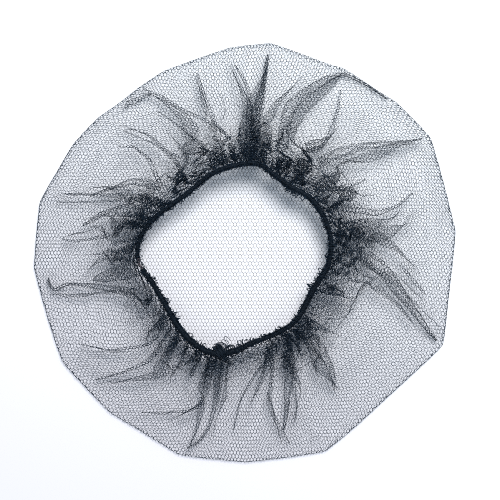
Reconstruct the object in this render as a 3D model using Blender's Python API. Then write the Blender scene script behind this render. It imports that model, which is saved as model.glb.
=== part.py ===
"""Disposable mesh hairnet lying flat with its opening upwards: a round net bag drawn in by an elastic band.

Metres, +Z up. The origin is at the middle of the bag's underside, where it rests on a table.
"""

import math

import bmesh
import bpy
import numpy as np
from mathutils import Matrix, Vector

MM = 0.001

# Driving dimensions.
WALL = 1.0 * MM  # thickness of the wall that stands for the single layer of net
RIM_DEPTH = 9.0 * MM  # how far in from the outline the soft roll at the rim reaches
RIM_HEIGHT = 9.0 * MM  # height of that roll, from the table to the start of the top
PUFF = 2.5 * MM  # how far the top billows above a straight line from rim to band
BAND_ACROSS = 3.6 * MM  # diameter of the elastic with the edge of the net sewn round it
GAP = 0.4 * MM  # clear air between pieces that touch

# The bag's outline from above, as (direction in degrees, radius in mm). +X is 0 and +Y is 90.
OUTLINE = [
    (0, 143), (14, 144), (30, 148), (44, 145), (52, 141), (60, 143), (67, 138), (82, 143),
    (98, 138), (112, 135), (122, 134), (130, 130), (140, 137), (153, 138), (166, 143),
    (185, 143), (202, 145), (216, 143), (228, 142), (239, 139), (254, 144), (268, 141.5),
    (284, 144), (300, 145), (313, 141), (324, 143), (335, 148), (348, 142),
]

# The band's centreline, as (direction in degrees, radius in mm, height in mm above the table).
BAND_ROUTE = [
    (5, 58, 15), (22, 58, 16), (40, 57, 17), (56, 53.5, 18), (70, 56, 19), (82, 60, 20), (98, 58.5, 20),
    (114, 57, 19), (132, 55, 18), (148, 59, 17), (163, 67, 16), (176, 72, 15), (186, 71, 14),
    (198, 65, 14), (212, 63.5, 14), (226, 66, 14), (240, 69.5, 14), (252, 70.5, 15), (264, 66, 14),
    (276, 60, 13), (290, 58, 13), (306, 57, 13), (322, 53, 13), (336, 52, 14), (350, 56, 14),
]

# The join of the elastic's two ends: a knotted lump with a tuft of cut ends that points into the opening.
JOIN_DIRECTION = 256.0
JOIN_LENGTH = 8.0 * MM
JOIN_ACROSS = 6.0 * MM
TUFT_LENGTH = 8.0 * MM
TUFT_ACROSS = 3.0 * MM

# The main folds of the gathered top, as (direction at the band, direction at the tip, tip radius in mm,
# height beside the band in mm). Each fold rises out of the smooth net at its tip and ends at the band.
FOLDS = [
    (8, 18, 112, 6), (27, 31, 138, 6), (46, 56, 124, 4), (68, 61, 140, 7), (82, 83, 132, 9), (97, 94, 128, 8),
    (109, 106, 126, 7), (121, 125, 128, 5), (137, 142, 112, 4), (156, 163, 118, 5), (168, 174, 124, 7),
    (181, 187, 130, 7), (203, 206, 128, 4), (218, 222, 130, 6), (232, 236, 104, 5), (248, 246, 124, 6),
    (262, 258, 126, 5), (283, 283, 124, 7), (301, 303, 112, 7), (322, 322, 104, 4), (338, 337, 144, 6),
    (354, 350, 118, 7),
]
FOLD_WIDTH = 3.6  # degrees from a fold's crest to where it has lost two thirds of its height
FOLD_PEAK = 0.82  # share of the way from rim to band at which a fold is highest
FOLD_AT_BAND = 0.35  # share of its height that a fold keeps where it's sewn to the band

# How finely the surfaces are divided.
COLUMNS = 120
RIM_ROWS = 6
TOP_ROWS = 10
BAND_POINTS = 80
BAND_SIDES = 8


def clear_scene():
    for old in list(bpy.data.objects):
        bpy.data.objects.remove(old, do_unlink=True)


def material(name, colour, roughness):
    made = bpy.data.materials.new(name)
    made.use_nodes = True
    shader = made.node_tree.nodes["Principled BSDF"]
    shader.inputs["Base Color"].default_value = (*colour, 1.0)
    shader.inputs["Roughness"].default_value = roughness
    shader.inputs["Metallic"].default_value = 0.0
    return made


def object_from(name, mesh, finish):
    made = bpy.data.objects.new(name, mesh)
    bpy.context.scene.collection.objects.link(made)
    made.data.materials.append(finish)
    return made


def around(table, direction):
    """The values that a table of (direction, value, ...) rows has at any direction, on a smooth closed curve."""
    knots = [row[0] for row in table]
    k = int(np.searchsorted(knots, direction % 360.0, side="right")) - 1
    rows = [table[(k + step) % len(table)] for step in (-1, 0, 1, 2)]
    places = [rows[1][0] + (row[0] - rows[1][0] + 180.0) % 360.0 - 180.0 for row in rows]
    values = np.array([row[1:] for row in rows], float)
    slopes = [(values[i + 2] - values[i]) / (places[i + 2] - places[i]) for i in (0, 1)]
    span = places[2] - places[1]
    t = ((direction - places[1]) % 360.0) / span
    return (
        (2 * t**3 - 3 * t**2 + 1) * values[1]
        + (t**3 - 2 * t**2 + t) * span * slopes[0]
        + (3 * t**2 - 2 * t**3) * values[2]
        + (t**3 - t**2) * span * slopes[1]
    )


def level(direction, radius, height=0.0):
    """A point from its direction in degrees, radius and height."""
    turn = math.radians(direction)
    return Vector((radius * math.cos(turn), radius * math.sin(turn), height))


def turned_by(a, b):
    """How many degrees direction a is past direction b, from -180 to 180."""
    return (a - b + 180.0) % 360.0 - 180.0


def band_point(direction):
    radius, height = around(BAND_ROUTE, direction)
    return level(direction, radius * MM, height * MM)


def band_run(direction):
    """The way that the band runs there, anticlockwise from above."""
    return (band_point(direction + 1.0) - band_point(direction - 1.0)).normalized()


def net_edge(direction):
    """Where the net ends beside the band. It keeps clear of the band, and of the thicker join."""
    run = band_run(direction)
    outwards = Vector((run.y, -run.x, 0.0)).normalized()
    from_join = turned_by(direction, JOIN_DIRECTION) / 5.0
    extra = (JOIN_ACROSS - BAND_ACROSS) / 2 * math.exp(-(from_join**4))
    return band_point(direction) + outwards * (BAND_ACROSS / 2 + GAP + extra)


def fold_lift(direction, radius, share):
    """How far the folds raise the top at a place that is this share of the way from rim to band."""
    rise = 0.0
    band_radius = around(BAND_ROUTE, direction)[0] * MM
    for at_band, at_tip, tip_radius, height in FOLDS:
        along = (tip_radius * MM - radius) / (tip_radius * MM - band_radius)
        if along <= 0:
            continue
        crest = at_tip + turned_by(at_band, at_tip) * along
        across = turned_by(direction, crest) / FOLD_WIDTH
        rise += height * MM * min(along / FOLD_PEAK, 1.0) * math.exp(-(across**2))
    sewn_down = max(0.0, (share - FOLD_PEAK) / (1.0 - FOLD_PEAK))
    return rise * (1.0 - (1.0 - FOLD_AT_BAND) * sewn_down)


def wall_column(direction):
    """Points up the middle of the wall in one direction: over the table, round the rim and in to the band."""
    rim_radius = around(OUTLINE, direction)[0] * MM
    middle = WALL / 2
    turn_radius, half_height = rim_radius - RIM_DEPTH, RIM_HEIGHT / 2 - middle
    points = [level(direction, 0.5 * rim_radius, middle)]
    for row in range(RIM_ROWS + 1):
        roll = math.pi * (row / RIM_ROWS - 0.5)
        reach = turn_radius + (RIM_DEPTH - middle) * math.cos(roll)
        points.append(level(direction, reach, middle + half_height * (1 + math.sin(roll))))
    start, end = points[-1], net_edge(direction)
    for row in range(1, TOP_ROWS + 1):
        share = row / TOP_ROWS
        point = start.lerp(end, share)
        point.z += PUFF * math.sin(math.pi * share)
        point.z += fold_lift(direction, math.hypot(point.x, point.y), share)
        points.append(point)
    return points


def net_bag(finish):
    """The whole bag as one wall: a flat disc on the table that turns over at the rim and is gathered in above."""
    shape = bmesh.new()
    columns = [
        [shape.verts.new(point) for point in wall_column(360.0 * column / COLUMNS)]
        for column in range(COLUMNS)
    ]
    shape.faces.new([column[0] for column in reversed(columns)])
    for left, right in zip(columns, columns[1:] + columns[:1]):
        for row in range(len(left) - 1):
            shape.faces.new((left[row], left[row + 1], right[row + 1], right[row]))
    bmesh.ops.recalc_face_normals(shape, faces=shape.faces)
    mesh = bpy.data.meshes.new("net_bag")
    shape.to_mesh(mesh)
    shape.free()
    mesh.shade_smooth()
    bag = object_from("net_bag", mesh, finish)
    wall = bag.modifiers.new("wall", "SOLIDIFY")
    wall.thickness = WALL
    wall.offset = 0.0
    wall.use_even_offset = True
    return bag


def elastic_band(finish):
    """The elastic in its sewn edge, from one side of the join right round to the other."""
    curve = bpy.data.curves.new("elastic_band", "CURVE")
    curve.dimensions = "3D"
    curve.bevel_depth = BAND_ACROSS / 2
    curve.bevel_resolution = BAND_SIDES // 4
    curve.use_fill_caps = True
    radius = band_point(JOIN_DIRECTION).xy.length
    clear = math.degrees((JOIN_LENGTH / 2 + GAP) / radius)
    run = curve.splines.new("POLY")
    run.points.add(BAND_POINTS - 1)
    for step, point in enumerate(run.points):
        share = step / (BAND_POINTS - 1)
        direction = JOIN_DIRECTION + clear + (360.0 - 2 * clear) * share
        point.co = (*band_point(direction), 1.0)
    return object_from("elastic_band", curve, finish)


def turned(profile, steps=14):
    """A closed solid turned about X from a profile of (place along X, radius) points that starts and ends on X."""
    shape = bmesh.new()
    rings = [
        [
            shape.verts.new((along, radius * math.cos(turn), radius * math.sin(turn)))
            for turn in (2 * math.pi * step / steps for step in range(steps))
        ]
        for along, radius in profile
    ]
    for near, far in zip(rings, rings[1:]):
        for step in range(steps):
            following = (step + 1) % steps
            shape.faces.new((near[step], near[following], far[following], far[step]))
    shape.faces.new(rings[0])
    shape.faces.new(rings[-1])
    bmesh.ops.recalc_face_normals(shape, faces=shape.faces)
    return shape


def join_profile(length, across, end_across, rows=6):
    """A barrel: flat ends of one diameter and a rounded belly of another."""
    return [
        (
            length * (row / rows - 0.5),
            (end_across + (across - end_across) * math.sin(math.pi * row / rows) ** 0.7) / 2,
        )
        for row in range(rows + 1)
    ]


def band_join(finish):
    """The knotted lump that holds the elastic's two ends, with its tuft of cut ends."""
    place, run = band_point(JOIN_DIRECTION), band_run(JOIN_DIRECTION)
    lump = turned(join_profile(JOIN_LENGTH, JOIN_ACROSS, BAND_ACROSS))
    mesh = bpy.data.meshes.new("band_join")
    lump.to_mesh(mesh)
    lump.free()
    join = object_from("band_join", mesh, finish)
    join.matrix_world = Matrix.Translation(place) @ run.to_track_quat("X", "Z").to_matrix().to_4x4()

    inwards = Vector((-run.y, run.x, 0.35)).normalized()
    tuft = turned(join_profile(TUFT_LENGTH, TUFT_ACROSS, 0.55 * TUFT_ACROSS), steps=10)
    tuft_mesh = bpy.data.meshes.new("tuft_of_ends")
    tuft.to_mesh(tuft_mesh)
    tuft.free()
    ends = object_from("tuft_of_ends", tuft_mesh, finish)
    ends.matrix_world = (
        Matrix.Translation(place + inwards * (0.6 * TUFT_LENGTH))
        @ inwards.to_track_quat("X", "Z").to_matrix().to_4x4()
    )
    ends.hide_render = True
    ends.display_type = "WIRE"
    union = join.modifiers.new("tuft", "BOOLEAN")
    union.operation = "UNION"
    union.object = ends
    return join


def main():
    clear_scene()
    net = material("dark_net", (0.03, 0.045, 0.06), 0.6)
    elastic = material("dark_elastic", (0.015, 0.02, 0.028), 0.75)
    net_bag(net)
    elastic_band(elastic)
    band_join(elastic)


main()
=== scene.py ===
"""A disposable mesh hairnet lying empty on a pale table, opening upwards.

The net is one flat disc of knitted honeycomb mesh. Its middle lies on the table, it turns over at a soft
rim, and its outer part is gathered back over the top to an elastic hem round the head opening. The folds are
worked out on a grid that knows how far apart the knots of the net are, then every thread is laid along it.

Shapes are worked out in mm, and directions are in degrees from +X towards +Y. Meshes are in metres, +Z up.
"""

import math

import bpy
import numpy as np
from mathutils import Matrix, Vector


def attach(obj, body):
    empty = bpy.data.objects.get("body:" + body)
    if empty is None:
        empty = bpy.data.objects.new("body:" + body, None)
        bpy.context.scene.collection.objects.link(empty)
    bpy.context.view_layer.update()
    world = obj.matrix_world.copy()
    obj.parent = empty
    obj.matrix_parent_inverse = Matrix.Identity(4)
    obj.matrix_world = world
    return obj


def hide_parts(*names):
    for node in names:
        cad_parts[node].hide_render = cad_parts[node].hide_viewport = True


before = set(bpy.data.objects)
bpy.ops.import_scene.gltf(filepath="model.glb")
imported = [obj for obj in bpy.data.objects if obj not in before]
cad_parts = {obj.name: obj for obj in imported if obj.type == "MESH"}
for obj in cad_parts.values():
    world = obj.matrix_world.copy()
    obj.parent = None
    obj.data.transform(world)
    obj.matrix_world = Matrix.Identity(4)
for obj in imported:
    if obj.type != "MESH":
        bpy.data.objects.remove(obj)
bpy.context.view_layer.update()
MM = 0.001
TURN = 2 * math.pi

# ---------------------------------------------------------------- the net's measures, in mm
CELL_ACROSS = 2.264  # from one column of cells to the next
ROW_STEP = 2.428  # from one row of cells to the next, which is half a cell to the side
PILLAR = 1.15  # length of the knitted pillar between two rows of knots
NET_REACH = 310.0  # the lattice is laid out this far from the middle, then cut to the disc
THREAD = 0.132  # width of the yarn where the net lies spread on the table
TOP_THREAD = 0.184  # width of the same yarn on top, where it is slacker
RIM_THREAD = 0.34  # width where the net turns over and its yarns crowd together
GATHERED_THREAD = 0.39  # width where the net is gathered and the yarn is fluffed out
FLUFF_FROM, FLUFF_OVER = 190.0, 55.0  # flat radius where the yarn starts to fluff out, and over how much more
EDGE_THREAD, ROLLED_THREAD = 0.32, 0.24  # width in a narrow rolled-over fold, and in a wide one
NARROW_FOLD = 3.1  # a rolled-over fold is narrow if it is nowhere wider than this
ROLLED_POINTS = 90  # points along a rolled-over fold
ROLLED_TURNS = 1.8  # net round a rolled-over fold, as a multiple of its width
THREAD_HIGH = 0.18  # thickness of a thread
LAID = 0.15  # height of a thread's middle where it lies on the table

# ---------------------------------------------------------------- the grid that carries the folds
COLUMNS = 1440
FLOOR_ROWS, ROLL_ROWS, TOP_ROWS, FRILL_ROWS = 6, 6, 64, 3
TOP_START = FLOOR_ROWS + ROLL_ROWS  # the row where the gathered top begins
ROLL_OUT = 0.35  # how far the turn stands out
ROLL = 1.3  # radius of the soft turn at the rim
ROLL_RUN = math.pi * ROLL  # net taken up by the turn
FLOOR_REACH = 8.0  # how much of the lower layer the grid takes in
FRILL = 3.2  # net beyond the hem's seam
SLACK = 1.50  # net between rim and hem, as a multiple of the straight distance
PUFF = 2.0  # how far the top stands up between rim and hem
GATHERS = 12  # trains of small waves in the net at the hem
FEWEST_GATHERS = 96  # waves round the net in the first of them
FOOT = 0.35  # half the width that a fold stands on
CREST = 0.8  # square of the radius of its crest
FLAT_TIP = 1.5  # a fold blunter than this lies flopped over all the way
HALFWAY_RADIUS = 100.0  # where FOLDS says which way a fold runs on its way to the tip

# ---------------------------------------------------------------- how the folds settle
SETTLING_PASSES = 70
STRETCH, SHEAR = 1.02, 1.08  # how far the net gives along its threads and across its cells
FIRMNESS = 0.9  # share of a misfit that one pull mends
STIFFNESS = 0.015  # how strongly the net evens out its bends
SINK = 0.02  # how far it sinks in a pass
HEADROOM = 2.4  # how far it may stand above where it lies
UPRIGHT_ROOM = 4.0  # and how much more where a fold stands upright

# ---------------------------------------------------------------- how the net is split into pieces, measured and laid on its UV map
CROWN = 128.0  # flat radius of the crown pieces
GATHERED_DEPTH = 137.0  # average depth of the gathered pieces, from the crown to the cut edge
GATHERED_PIECES = 5
RELAXED = 0.79  # area of the relaxed net, as a share of its area when spread
UV_SPAN = 640.0  # the flat net's place on its UV map

# Corners of the outline: the rim runs nearly straight from one to the next.
CORNERS = [6, 32, 45, 62, 83, 94, 114, 124, 137, 148, 166, 184, 211, 230, 252, 270, 292, 335]

# Folds of the gathered top, in order round the net, with these columns: the direction where each meets the
# hem, its direction at HALFWAY_RADIUS, the direction and radius of its tip, how much net it takes up, how far
# it leans anticlockwise, and how blunt its tip is, in mm.
AT_HEM, HALFWAY, AT_TIP, TIP_RADIUS, TAKES_UP, LEANS, BLUNT = range(7)
FOLDS = [
    (358, 347, 336, 149, 5.0, 0.9, 0.8), (3, 352, 340, 134, 1.4, 0.9, 0), (8, 0, 349, 124, 1.6, 0.6, 0),
    (15, 12, 15, 124, 1.6, -0.8, 0.3), (21, 14, 19, 118, 1.2, -0.7, 0.3), (28, 24, 27, 106, 0.9, 0.8, 0),
    (37, 34, 34, 98, 0.7, -0.6, 0), (47, 42, 32, 146, 2.4, -0.8, 0.8), (54, 52, 56, 128, 1.3, 0.8, 0.5),
    (64, 63, 66, 96, 0.6, 0.7, 0), (71, 73, 62, 143, 3.0, -0.9, 5.5), (76, 77, 72, 126, 1.2, 0.6, 0.5),
    (82, 82, 83, 137, 1.9, 0.5, 0.2), (87, 88, 89, 110, 0.9, -0.6, 0), (91, 91, 95, 130, 1.9, -0.7, 0.2),
    (94, 97, 100, 117, 0.9, 0.7, 0), (98, 103, 106, 129, 1.1, 0.7, 0.2),
    (103, 111, 124, 137, 2.2, 0.8, 0.6), (109, 119, 126, 122, 0.9, -0.7, 0),
    (116, 122, 128, 104, 0.7, 0.7, 0), (124, 126, 136, 121, 1.0, 0.7, 0.3),
    (134, 136, 139, 110, 0.9, -0.7, 0), (143, 152, 158, 113, 1.6, 0.9, 1.0),
    (150, 158, 165, 140, 1.3, -0.6, 0.4), (158, 164, 170, 114, 1.3, 0.8, 0.3),
    (166, 172, 175, 126, 1.4, -0.7, 0.2), (173, 178, 181, 112, 1.6, 0.8, 0.5),
    (179, 184, 187, 108, 1.9, -0.8, 3.0), (199, 193, 190.5, 137, 1.7, 0.9, 1.6),
    (215, 220, 209, 130, 1.2, 0.7, 0.3), (222, 227, 217, 104, 1.0, 0.7, 0.6),
    (227, 230, 221, 133, 1.4, 0.8, 0.4), (236, 240, 238, 102, 1.1, -0.7, 0),
    (247, 253, 244, 127, 1.2, 0.7, 0.4), (253, 256, 254, 142, 1.3, -0.6, 0.2),
    (258, 260, 259, 128, 1.3, 0.7, 0.2), (283, 271, 267, 116, 0.7, 0.2, 0.1),
    (287, 280, 281, 138, 0.6, -0.5, 0.1), (291, 288, 284, 126, 2.4, 0.9, 0.5),
    (297, 292, 289, 108, 1.0, -0.7, 0), (302, 301, 299, 101, 1.1, 0.7, 0),
    (308, 305, 304, 114, 1.5, -0.8, 0.4), (313, 316, 318, 88, 0.6, -0.8, 0),
    (328, 333, 336, 88, 0.7, 0.7, 0), (338, 338, 339, 90, 0.6, -0.6, 0),
    (346, 341, 334, 122, 1.4, 0.8, 0.2), (352, 344, 331, 132, 1.3, 0.8, 0.3),
]
MINOR_FOLDS = 64  # small gathers close to the hem

# How closely the net is gathered along the hem, as (direction, share of the average).
GATHERING = [
    (0, 1.2), (12, 1.3), (22, 1.4), (32, 1.3), (44, 1.1), (54, 1.0), (62, 1.6), (72, 2.7), (90, 2.9),
    (104, 2.3), (116, 1.1), (128, 0.8), (140, 0.9), (150, 1.7), (162, 2.1), (176, 2.0), (184, 0.8),
    (190, 0.3), (198, 0.4), (206, 0.9), (220, 1.3), (232, 1.3), (244, 1.6), (256, 2.0), (262, 0.6),
    (270, 0.35), (280, 0.5), (288, 1.7), (300, 1.8), (310, 1.5), (318, 0.7), (334, 0.7), (344, 1.2),
    (352, 1.5),
]

# Places where the net lies rolled over on itself, as (direction, radius, width) along each.
ROLLED_OVER = [
    [(255.6, 74, 2.6), (257.4, 86, 2.8), (258.6, 99, 1.6)],
    [(258.4, 75, 2.4), (259.4, 87, 2.6), (259.8, 104, 1.4)],
    [(69.5, 72, 7), (72.5, 88, 8), (73, 104, 8), (68.5, 118, 7), (64, 133, 4), (61, 139, 2.0),
     (55, 140.5, 1.6), (50, 141.5, 1.2), (46.5, 142, 0.6)],
    [(203, 74, 7), (197, 86, 6), (193, 101, 3.6), (190.5, 115, 2.2), (189.8, 124, 1.8), (191.5, 131, 2.2),
     (189.0, 135, 1.8), (186.8, 134, 0.8)],
    [(130, 127, 0.8), (128, 129, 3.4), (126.2, 127.2, 4.4), (124, 126.5, 3.4), (120, 124.5, 1.0)],
    [(356, 104, 0.5), (353, 110, 2.4), (350, 117, 3.0), (346.8, 126, 0.8)],
    [(358, 80, 11), (354, 92, 10), (347, 105, 8), (341, 121, 5), (336.5, 137, 2.6), (335.2, 143.5, 0.8)],
    [(187, 70, 12), (188.5, 82, 12), (189.5, 95, 8), (190, 104, 1.5)],
    [(208.8, 128, 0.6), (216.2, 111.7, 1.6), (223.7, 89.4, 2.6), (223, 79, 4)],
    [(220.2, 133.5, 0.6), (224.6, 114.6, 2.0), (228.4, 97.3, 2.4), (229, 83, 4)],
    [(236.5, 129.2, 0.5), (242.7, 122.1, 1.3), (250.6, 112.4, 1.8), (255.7, 103.2, 2)],
    [(253.1, 139, 0.6), (256.5, 130.8, 1.5), (258.5, 119.4, 2.0), (258.8, 105.4, 2.6), (258, 91, 4.5),
     (257, 80, 5.5), (256.3, 72, 6)],
    [(288.6, 68, 2.2), (274.8, 81.3, 1.8), (268, 100, 1.4), (266.2, 121, 0.6)],
    [(122, 131.6, 0.6), (117.4, 118.1, 2.0), (114.5, 106.8, 2.8), (106.9, 93.6, 2.4), (99.6, 81.3, 2)],
    [(121.7, 113.2, 0.5), (117.4, 96.1, 1.4), (112.6, 79.5, 1.6), (108.5, 68, 1.6)],
    [(134.9, 116.8, 0.5), (130.7, 99.1, 1.2), (127.1, 84.6, 1.6), (122.8, 75.2, 2)],
    [(140.4, 112.5, 0.6), (136.2, 103.6, 1.8), (135.6, 90.4, 2.6), (138.3, 79.7, 3.4), (141.8, 70, 4)],
    [(159.9, 112.2, 0.6), (153.7, 98.6, 2.4), (147.9, 90.3, 4), (143.9, 79.9, 6), (145, 70.9, 7)],
    [(165.1, 133, 0.5), (161.4, 107.6, 1.4), (156.2, 89.2, 1.8)],
    [(175.6, 124.5, 0.5), (176.1, 116, 1.8), (174.6, 102.5, 2.0), (172.3, 91, 3)],
    [(170.6, 111, 0.8), (164.5, 99, 4), (160, 84, 9), (158, 72, 10)],
    [(59.8, 128.3, 0.5), (57.1, 115.8, 2.4), (54.8, 100.2, 3), (53.7, 89, 2.4), (58.1, 80.4, 2.4),
     (62, 72, 3)],
    [(32.6, 144, 0.6), (34.6, 132.2, 1.6), (38.6, 117.5, 3.6), (43.5, 103.1, 6), (47.9, 88.7, 7),
     (51, 76, 7)],
    [(19.8, 121, 0.5), (16.9, 106.6, 2.4), (16.8, 92.3, 4), (20.3, 81.6, 5), (25.5, 71, 5)],
    [(31.3, 95.5, 0.5), (31.9, 84.1, 1.6), (33.5, 72, 2.5)],
    [(302.8, 111, 0.6), (305.5, 102, 3.4), (307.1, 94, 5.5), (308.4, 78.4, 8)],
    [(282.2, 123, 0.6), (284.5, 112, 3), (286.5, 100, 4.6), (291, 84, 6.5), (294, 72, 8)],
    [(279, 94, 0.6), (280.8, 115.6, 1.5), (283.3, 133, 0.8)],
    [(83.4, 136.6, 0.6), (83.7, 124, 2.2), (84, 112, 3.4), (84.8, 100, 5.5), (86, 86, 8), (87, 74, 9)],
    [(93.5, 129, 0.6), (91.5, 121, 1.6), (89.4, 113, 2.4), (88, 98, 4), (88, 84, 6)],
    [(104.9, 127.5, 0.6), (104.5, 115, 2), (104.3, 105, 2.6), (102.6, 88, 2.4), (97, 76, 2.4)],
]

rng = np.random.default_rng(41)


def node_points(name):
    """The corners of a CAD node, in mm."""
    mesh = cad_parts[name].data
    points = np.empty(len(mesh.vertices) * 3)
    mesh.vertices.foreach_get("co", points)
    return points.reshape(-1, 3) / MM


def apart(a, b):
    """How many degrees a is past b, from -180 to 180."""
    return (a - b + 180.0) % 360.0 - 180.0


def three_turns(values):
    """Directions in rising order, repeated a turn before and a turn after."""
    return np.concatenate([values - 360.0, values, values + 360.0])


def turn_and_reach(points):
    """Direction, from 0 to 360, and distance from the middle, of points seen from above."""
    return np.degrees(np.arctan2(points[:, 1], points[:, 0])) % 360.0, np.hypot(points[:, 0], points[:, 1])


def polar(direction, radius, height):
    turn = np.radians(direction)
    x, y = radius * np.cos(turn), radius * np.sin(turn)
    return np.stack([x, y, height + 0 * x], axis=-1)


def round_interp(direction, knots, values):
    """Values from a table of directions in rising order, at any direction, straight between its rows."""
    knots, values = np.asarray(knots, float), np.asarray(values, float)
    knots = np.concatenate([knots[-1:] - 360.0, knots, knots[:1] + 360.0])
    values = np.concatenate([values[-1:], values, values[:1]])
    return np.interp(np.asarray(direction) % 360.0, knots, values)


def from_table(direction, table):
    """Values at any direction from a table of (direction, value) rows."""
    return round_interp(direction, [row[0] for row in table], [row[1] for row in table])


def smooth_step(x):
    x = np.clip(x, 0.0, 1.0)
    return x * x * (3 - 2 * x)


def unit(v):
    return v / (np.linalg.norm(v, axis=-1, keepdims=True) + 1e-9)


def bunched(share):
    """How far in towards the hem a share of the net's depth reaches: the last of it is pushed together."""
    return float(np.interp(share, [0.0, 0.40, 0.56, 0.76, 1.0], [0.0, 0.61, 0.75, 0.88, 1.0]))


# ---------------------------------------------------------------- where the rim and the hem run
STEPS = np.arange(0.0, 360.0, 0.5)
STRAIGHTNESS = 0.8  # how far the rim goes from a smooth curve towards straight runs between its corners
CORNER_OUT = 0.6  # how far the corners stand out, to make up for the straight runs
HEM_SPAN = 2.2  # the hem's centreline is averaged over about this many degrees
HEM_HALF = 1.7  # from the hem's middle to the seam where the gathered net goes in


def rim_table():
    """Outline radius at each step of direction: the CAD rim at the corners, and nearly straight between."""
    direction, radius = turn_and_reach(node_points("net_bag"))
    knots = np.arange(0.0, 360.0, 3.0)
    cad = np.array([radius[np.abs(apart(direction, knot)) < 0.6].max() for knot in knots])
    curve = round_interp(STEPS, knots, cad)
    corners = np.array(CORNERS, float)
    reach = round_interp(corners, STEPS, curve) + CORNER_OUT
    x, y = reach * np.cos(np.radians(corners)), reach * np.sin(np.radians(corners))
    straight = np.empty_like(STEPS)
    for k, step in enumerate(STEPS):
        after = int(np.searchsorted(corners, step, side="right")) % len(corners)
        x0, y0, x1, y1 = x[after - 1], y[after - 1], x[after], y[after]
        c, s = math.cos(math.radians(step)), math.sin(math.radians(step))
        straight[k] = (x0 * y1 - x1 * y0) / (c * (y1 - y0) - s * (x1 - x0))
    return STRAIGHTNESS * straight + (1 - STRAIGHTNESS) * curve


def hem_table():
    """(radius, height) of the hem's centreline at each step of direction."""
    points = node_points("elastic_band")
    direction, radius = turn_and_reach(points)
    weight = np.exp(-((apart(direction[None, :], STEPS[:, None]) / HEM_SPAN) ** 2))
    weight /= weight.sum(axis=1, keepdims=True)
    return weight @ radius, weight @ points[:, 2]


RIM = rim_table()
HEM_RADIUS, HEM_HEIGHT = hem_table()


def rim_at(direction):
    return round_interp(direction, STEPS, RIM)


def hem_at(direction):
    return round_interp(direction, STEPS, HEM_RADIUS), round_interp(direction, STEPS, HEM_HEIGHT)


# ---------------------------------------------------------------- the gathered net as a grid
def gather_table():
    """Direction in the flat net that is sewn to each step of direction along the hem."""
    pull_in = from_table(STEPS, GATHERING)
    run = np.concatenate([[0.0], np.cumsum(pull_in)[:-1]]) * 360.0 / pull_in.sum()
    folds = np.array(FOLDS, float)
    offset = apart(folds[:, AT_TIP], np.interp(folds[:, AT_HEM], STEPS, run)).mean()
    return run + offset


def minor_folds(sewn):
    """Small gathers near the hem, longest where the most net is taken in, in the same form as FOLDS."""
    wanted = (np.arange(MINOR_FOLDS) + 0.5 + rng.uniform(-0.35, 0.35, MINOR_FOLDS)) * 360.0 / MINOR_FOLDS
    at_hem = np.interp(wanted, three_turns(sewn), three_turns(STEPS)) % 360.0
    reach = rng.uniform(9.0, 22.0, MINOR_FOLDS) * np.clip(from_table(at_hem, GATHERING), 0.5, 1.7)
    slant = rng.normal(0, 2.5, MINOR_FOLDS)
    takes_up = rng.uniform(0.4, 1.1, MINOR_FOLDS)
    leans = rng.choice([-1.0, 1.0], MINOR_FOLDS) * rng.uniform(0.6, 1.0, MINOR_FOLDS)
    tip = hem_at(at_hem)[0] + reach
    return np.stack([at_hem, at_hem + slant / 2, at_hem + slant, tip, takes_up, leans, 0 * leans], axis=1)


def pull(a, b, rest, least, most, give):
    """The move of a, and the opposite of b's, that brings them between least and most times rest apart."""
    gap = b - a
    length = np.sqrt((gap**2).sum(axis=-1)) + 1e-9
    want = np.clip(length, least * rest, most * rest)
    return gap * (give * 0.5 * (1 - want / length))[..., None]


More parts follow.
